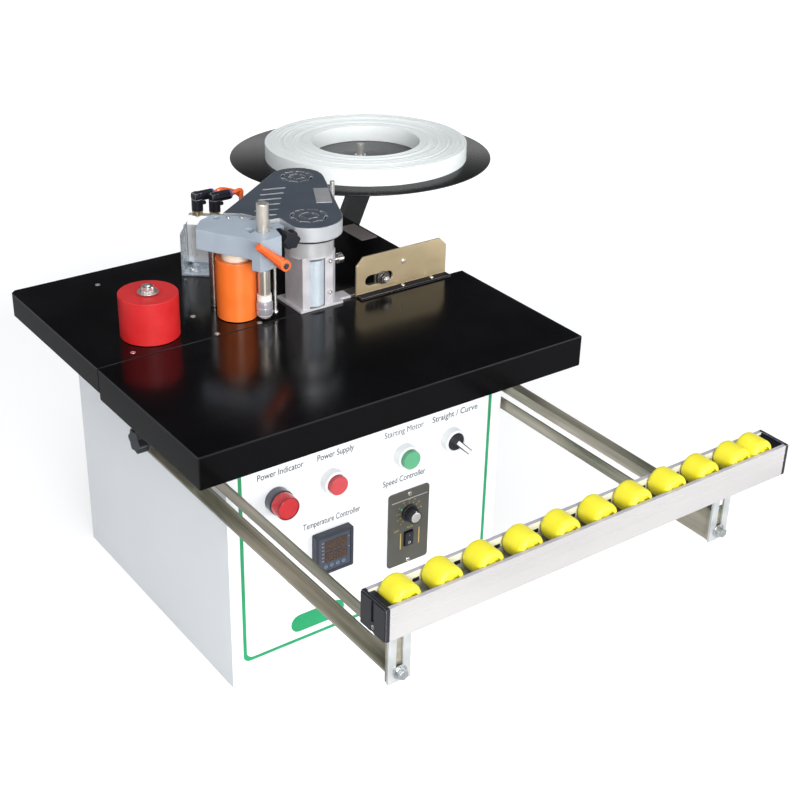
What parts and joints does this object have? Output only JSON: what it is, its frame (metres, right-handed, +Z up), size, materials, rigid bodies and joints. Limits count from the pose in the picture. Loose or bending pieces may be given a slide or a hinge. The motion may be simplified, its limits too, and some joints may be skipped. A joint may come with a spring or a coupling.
{
  "type": "edge banding machine",
  "caption": "Bench-top edge banding machine: white cabinet, black tables, glue head with pressure rollers, sliding roller support in front and a tape reel on a rear arm.",
  "frame": {"origin": "centre of the cabinet's rectangular footprint, on the surface that the machine stands on", "axes": "+Z up, +X to the operator's right, +Y from the operator towards the back"},
  "size_m": [0.742, 1.0331, 0.515],
  "materials": {
    "white_paint": "satin",
    "black_paint": "satin",
    "grey_paint": "semi-gloss",
    "cast_aluminium": "cast, machined faces",
    "aluminium": "anodised",
    "steel": "ground",
    "dark_steel": "matt",
    "yellow_zinc": "yellow zinc plated",
    "grey_zinc": "zinc plated",
    "brass": "brushed",
    "black_plastic": "matt",
    "slate_plastic": "matt",
    "white_plastic": "gloss",
    "red_plastic": "gloss",
    "red_lens": "clear gloss",
    "green_plastic": "gloss",
    "yellow_plastic": "satin",
    "olive_plate": "matt, printed",
    "red_rubber": "satin",
    "orange_rubber": "satin",
    "orange_plastic": "gloss",
    "white_tape": "wound edge banding"
  },
  "bodies": {
    "machine": {"air_tube_left": "orange_plastic", "air_tube_right": "orange_plastic", "air_valve": "aluminium", "cabinet_base": "white_paint", "cabinet_rear_cover": "white_paint", "cabinet_shell": "white_paint", "cutter_cylinder": "aluminium", "cutter_mount": "grey_zinc", "drive_chain": "dark_steel", "drive_plate": "dark_steel", "front_table": "black_paint", "gear_motor": "dark_steel", "glue_housing": "cast_aluminium", "green_button_bezel": "white_plastic", "head_cover": "grey_paint", "indicator_lamp": "red_lens", "power_inlet": "black_plastic", "rear_table": "black_paint", "red_button_bezel": "white_plastic", "red_roller_axle": "steel", "reel_arm": "black_paint", "selector_bezel": "white_plastic", "speed_controller": "olive_plate", "support_arm": "grey_paint", "temperature_controller": "slate_plastic"},
    "slide_rails": {"left_rail": "yellow_zinc", "right_rail": "yellow_zinc"},
    "track": {"left_track_bracket": "grey_zinc", "right_track_bracket": "grey_zinc", "roller_track": "aluminium"},
    "track_roller_01": {"track_roller_01": "yellow_plastic"},
    "track_roller_02": {"track_roller_02": "yellow_plastic"},
    "track_roller_03": {"track_roller_03": "yellow_plastic"},
    "track_roller_04": {"track_roller_04": "yellow_plastic"},
    "track_roller_05": {"track_roller_05": "yellow_plastic"},
    "track_roller_06": {"track_roller_06": "yellow_plastic"},
    "track_roller_07": {"track_roller_07": "yellow_plastic"},
    "track_roller_08": {"track_roller_08": "yellow_plastic"},
    "track_roller_09": {"track_roller_09": "yellow_plastic"},
    "track_roller_10": {"track_roller_10": "yellow_plastic"},
    "track_roller_11": {"track_roller_11": "yellow_plastic"},
    "left_rail_knob": {"left_rail_knob": "black_plastic"},
    "right_rail_knob": {"right_rail_knob": "black_plastic"},
    "red_button": {"red_button": "red_plastic"},
    "green_button": {"green_button": "green_plastic"},
    "selector_handle": {"selector_handle": "black_plastic"},
    "speed_knob": {"speed_knob": "black_plastic"},
    "speed_rocker": {"speed_rocker": "black_plastic"},
    "red_roller": {"red_roller": "red_rubber"},
    "press_roller": {"press_roller": "orange_rubber"},
    "guide_shaft": {"guide_shaft": "steel"},
    "guide_bearing": {"guide_bearing": "steel"},
    "clamp_lever": {"clamp_lever": "orange_plastic"},
    "arm_star_knob": {"arm_star_knob": "black_plastic"},
    "drive_shaft": {"drive_shaft": "steel"},
    "glue_roller": {"glue_roller": "steel"},
    "cutter_blade": {"cutter_blade": "steel"},
    "tape_fence": {"tape_fence": "brass"},
    "reel": {"reel_disc": "black_paint", "tape_roll": "white_tape"}
  },
  "joints": [
    {"name": "support_slide", "type": "slide", "parent": "machine", "child": "slide_rails", "axis": [0, 1, 0], "range_m": [0, 0.23]},
    {"name": "track_height", "type": "slide", "parent": "slide_rails", "child": "track", "axis": [0, 0, 1], "range_m": [-0.04, 0]},
    {"name": "track_roller_01_spin", "type": "hinge", "parent": "track", "child": "track_roller_01", "pos_m": [-0.2245, -0.55475, 0.371], "axis": [0, 1, 0], "continuous": true},
    {"name": "track_roller_02_spin", "type": "hinge", "parent": "track", "child": "track_roller_02", "pos_m": [-0.17856, -0.55475, 0.371], "axis": [0, 1, 0], "continuous": true},
    {"name": "track_roller_03_spin", "type": "hinge", "parent": "track", "child": "track_roller_03", "pos_m": [-0.13261, -0.55475, 0.371], "axis": [0, 1, 0], "continuous": true},
    {"name": "track_roller_04_spin", "type": "hinge", "parent": "track", "child": "track_roller_04", "pos_m": [-0.08667, -0.55475, 0.371], "axis": [0, 1, 0], "continuous": true},
    {"name": "track_roller_05_spin", "type": "hinge", "parent": "track", "child": "track_roller_05", "pos_m": [-0.04072, -0.55475, 0.371], "axis": [0, 1, 0], "continuous": true},
    {"name": "track_roller_06_spin", "type": "hinge", "parent": "track", "child": "track_roller_06", "pos_m": [0.00522, -0.55475, 0.371], "axis": [0, 1, 0], "continuous": true},
    {"name": "track_roller_07_spin", "type": "hinge", "parent": "track", "child": "track_roller_07", "pos_m": [0.05117, -0.55475, 0.371], "axis": [0, 1, 0], "continuous": true},
    {"name": "track_roller_08_spin", "type": "hinge", "parent": "track", "child": "track_roller_08", "pos_m": [0.09711, -0.55475, 0.371], "axis": [0, 1, 0], "continuous": true},
    {"name": "track_roller_09_spin", "type": "hinge", "parent": "track", "child": "track_roller_09", "pos_m": [0.14306, -0.55475, 0.371], "axis": [0, 1, 0], "continuous": true},
    {"name": "track_roller_10_spin", "type": "hinge", "parent": "track", "child": "track_roller_10", "pos_m": [0.189, -0.55475, 0.371], "axis": [0, 1, 0], "continuous": true},
    {"name": "track_roller_11_spin", "type": "hinge", "parent": "track", "child": "track_roller_11", "pos_m": [0.22, -0.55475, 0.371], "axis": [0, 1, 0], "continuous": true},
    {"name": "left_knob_turn", "type": "hinge", "parent": "machine", "child": "left_rail_knob", "pos_m": [-0.23, -0.053, 0.2815], "axis": [-1, 0, 0], "range_deg": [-180, 180]},
    {"name": "right_knob_turn", "type": "hinge", "parent": "machine", "child": "right_rail_knob", "pos_m": [0.22, -0.053, 0.2755], "axis": [1, 0, 0], "range_deg": [-180, 180]},
    {"name": "red_button_press", "type": "slide", "parent": "machine", "child": "red_button", "axis": [0, 1, 0], "range_m": [0, 0.0028], "stiffness_N_per_m": 900},
    {"name": "green_button_press", "type": "slide", "parent": "machine", "child": "green_button", "axis": [0, 1, 0], "range_m": [0, 0.0028], "stiffness_N_per_m": 900},
    {"name": "selector_turn", "type": "hinge", "parent": "machine", "child": "selector_handle", "pos_m": [0.117, -0.205, 0.241], "axis": [0, 1, 0], "range_deg": [0, 90]},
    {"name": "speed_knob_turn", "type": "hinge", "parent": "machine", "child": "speed_knob", "pos_m": [0.0555, -0.2, 0.158], "axis": [0, -1, 0], "range_deg": [-150, 150]},
    {"name": "rocker_tilt", "type": "hinge", "parent": "machine", "child": "speed_rocker", "pos_m": [0.0555, -0.19, 0.121], "axis": [1, 0, 0], "range_deg": [-8, 8]},
    {"name": "red_roller_spin", "type": "hinge", "parent": "machine", "child": "red_roller", "pos_m": [-0.167, 0.025, 0.398], "axis": [0, 0, 1], "continuous": true},
    {"name": "press_roller_spin", "type": "hinge", "parent": "machine", "child": "press_roller", "pos_m": [-0.055, 0.016, 0.408], "axis": [0, 0, 1], "continuous": true},
    {"name": "guide_lift", "type": "slide", "parent": "machine", "child": "guide_shaft", "axis": [0, 0, 1], "range_m": [0, 0.04]},
    {"name": "guide_bearing_spin", "type": "hinge", "parent": "guide_shaft", "child": "guide_bearing", "pos_m": [-0.034, -0.012, 0.383], "axis": [0, 0, 1], "continuous": true},
    {"name": "clamp_lever_turn", "type": "hinge", "parent": "machine", "child": "clamp_lever", "pos_m": [-0.03, -0.049, 0.4515], "axis": [0, -1, 0], "range_deg": [-75, 60]},
    {"name": "star_knob_turn", "type": "hinge", "parent": "machine", "child": "arm_star_knob", "pos_m": [-0.0085, -0.03, 0.471], "axis": [0, -1, 0], "range_deg": [-180, 180]},
    {"name": "drive_shaft_spin", "type": "hinge", "parent": "machine", "child": "drive_shaft", "pos_m": [0.097, 0.123, 0.458], "axis": [0, 0, 1], "continuous": true},
    {"name": "glue_roller_spin", "type": "hinge", "parent": "machine", "child": "glue_roller", "pos_m": [0.034, -0.0125, 0.408], "axis": [0, 0, 1], "continuous": true},
    {"name": "cutter_stroke", "type": "slide", "parent": "machine", "child": "cutter_blade", "axis": [0.766, -0.6428, 0], "range_m": [0, 0.02]},
    {"name": "fence_shift", "type": "slide", "parent": "machine", "child": "tape_fence", "axis": [1, 0, 0], "range_m": [-0.01, 0.018]},
    {"name": "reel_spin", "type": "hinge", "parent": "machine", "child": "reel", "pos_m": [0.298, 0.2727, 0.429], "axis": [0.013, 0.041, 0.9991], "continuous": true}
  ],
  "couplings": [
    {"joint": "glue_roller_spin", "follows": "drive_shaft_spin", "ratio": 1}
  ]
}
